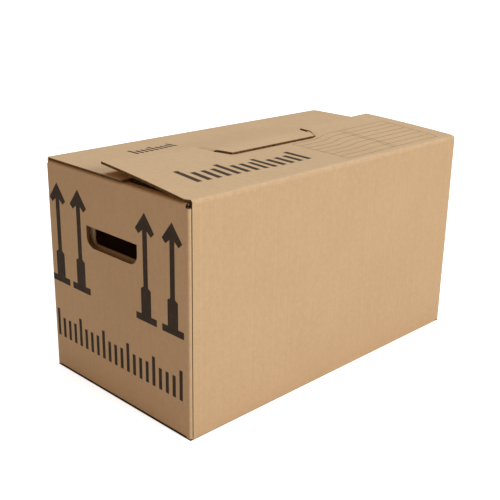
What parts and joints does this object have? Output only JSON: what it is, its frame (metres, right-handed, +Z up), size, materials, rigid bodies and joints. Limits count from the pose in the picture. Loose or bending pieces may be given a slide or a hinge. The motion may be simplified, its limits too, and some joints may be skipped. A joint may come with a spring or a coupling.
{
  "type": "moving box",
  "caption": "Corrugated moving box with doubled end walls, hand holes and an interlocked two-flap lid whose near flap swings open on its fold.",
  "frame": {"origin": "middle of the underside, on the surface the box stands on", "axes": "+X along the length, +Z up; the near long wall, which carries the hinged lid flap, faces -Y"},
  "size_m": [0.637, 0.34, 0.3784],
  "materials": {
    "board": "brown kraft liner, matt, with dark brown flexographic print"
  },
  "bodies": {
    "carton": {"carton_body": "board"},
    "near_flap": {"near_lid_flap": "board"}
  },
  "joints": [
    {"name": "near_flap_fold", "type": "hinge", "parent": "carton", "child": "near_flap", "pos_m": [0, -0.17, 0.36], "axis": [1, 0, 0], "range_deg": [0, 250]}
  ]
}
